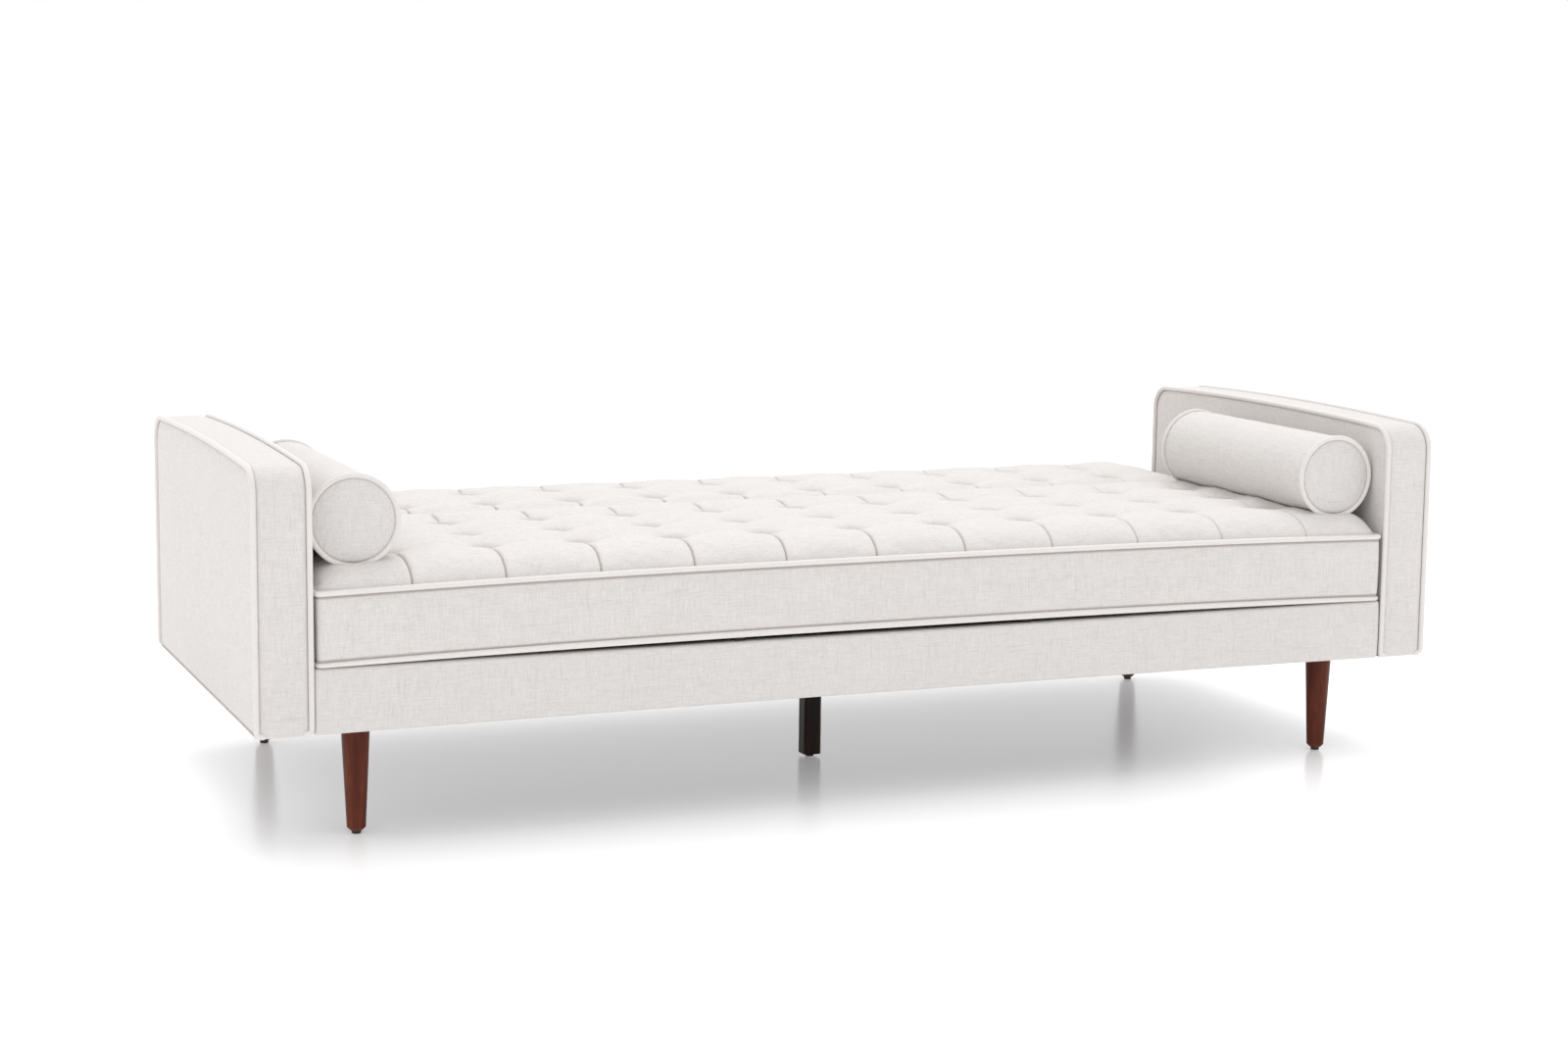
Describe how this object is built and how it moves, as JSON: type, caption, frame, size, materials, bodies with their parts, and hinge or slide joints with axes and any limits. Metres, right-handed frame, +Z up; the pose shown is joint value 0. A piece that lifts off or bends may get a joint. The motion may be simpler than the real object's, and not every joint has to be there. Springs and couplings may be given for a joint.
{
  "type": "daybed",
  "caption": "Upholstered fold-down sofa bed lying flat as a daybed, with biscuit-tufted seat and back, box arms, loose bolsters and tapered wooden legs.",
  "frame": {"origin": "on the floor, under the middle of the bounding box with the back folded flat", "axes": "+X along the length from the left arm to the right arm, -Y towards the front, +Z up"},
  "size_m": [2.109, 0.949, 0.5987],
  "materials": {
    "upholstery": "off-white linen-look woven upholstery cloth",
    "piping": "cord piping in the same off-white cloth",
    "walnut_wood": "satin reddish walnut stain",
    "dark_wood": "satin dark walnut stain",
    "glide_plastic": "matte black",
    "bumper_rubber": "matte black",
    "frame_timber": "planed pale timber",
    "zinc_steel": "zinc plated",
    "hinge_steel": "black powder coat",
    "spring_wire": "oiled spring steel",
    "foam": "open-cell polyurethane foam and fibre",
    "webbing": "woven elastic webbing",
    "dust_cloth": "black non-woven dust cloth"
  },
  "bodies": {
    "base": {"front_left_leg": "walnut_wood", "front_right_leg": "walnut_wood", "rear_left_leg": "walnut_wood", "rear_right_leg": "walnut_wood", "centre_leg": "dark_wood", "leg_plates": "zinc_steel", "leg_bolts": "zinc_steel", "leg_glides": "glide_plastic", "right_arm_posts": "frame_timber", "left_arm_posts": "frame_timber", "right_arm_rails": "frame_timber", "left_arm_rails": "frame_timber", "right_arm_padding": "foam", "left_arm_padding": "foam", "right_arm_cover": "upholstery", "left_arm_cover": "upholstery", "right_arm_welts": "piping", "left_arm_welts": "piping", "arm_bolts": "zinc_steel", "base_front_rail": "frame_timber", "base_rear_rail": "frame_timber", "base_side_rails": "frame_timber", "base_front_cover": "upholstery", "base_rear_cover": "upholstery", "centre_beam": "frame_timber", "base_dust_cover": "dust_cloth", "corner_blocks": "frame_timber", "rest_bumpers": "bumper_rubber", "hinge_brackets": "hinge_steel", "bracket_bolts": "zinc_steel", "hinge_pins": "hinge_steel"},
    "seat": {"seat_right_leaf": "hinge_steel", "seat_left_leaf": "hinge_steel", "seat_leaf_screws": "zinc_steel", "seat_front_rail": "frame_timber", "seat_rear_rail": "frame_timber", "seat_side_rails": "frame_timber", "seat_centre_rail": "frame_timber", "seat_springs": "spring_wire", "seat_foam": "foam", "seat_cover": "upholstery", "seat_welts": "piping", "seat_dust_cover": "dust_cloth"},
    "back": {"back_right_leaf": "hinge_steel", "back_left_leaf": "hinge_steel", "back_leaf_screws": "zinc_steel", "hinge_pawls": "hinge_steel", "back_joint_rail": "frame_timber", "back_top_rail": "frame_timber", "back_side_rails": "frame_timber", "back_webbing": "webbing", "back_foam": "foam", "back_cover": "upholstery", "back_outer_panel": "upholstery"},
    "left_bolster": {"left_bolster_cover": "upholstery", "left_bolster_filling": "foam"},
    "right_bolster": {"right_bolster_cover": "upholstery", "right_bolster_filling": "foam"}
  },
  "joints": [
    {"name": "back_recline", "type": "hinge", "parent": "base", "child": "back", "pos_m": [0, 0.08, 0.392], "axis": [1, 0, 0], "range_deg": [0, 72]},
    {"name": "seat_lift", "type": "hinge", "parent": "base", "child": "seat", "pos_m": [0, 0.08, 0.392], "axis": [-1, 0, 0], "range_deg": [0, 12]},
    {"name": "left_bolster_lift", "type": "slide", "parent": "seat", "child": "left_bolster", "axis": [0, 0, 1], "range_m": [0, 0.25]},
    {"name": "right_bolster_lift", "type": "slide", "parent": "seat", "child": "right_bolster", "axis": [0, 0, 1], "range_m": [0, 0.25]}
  ]
}
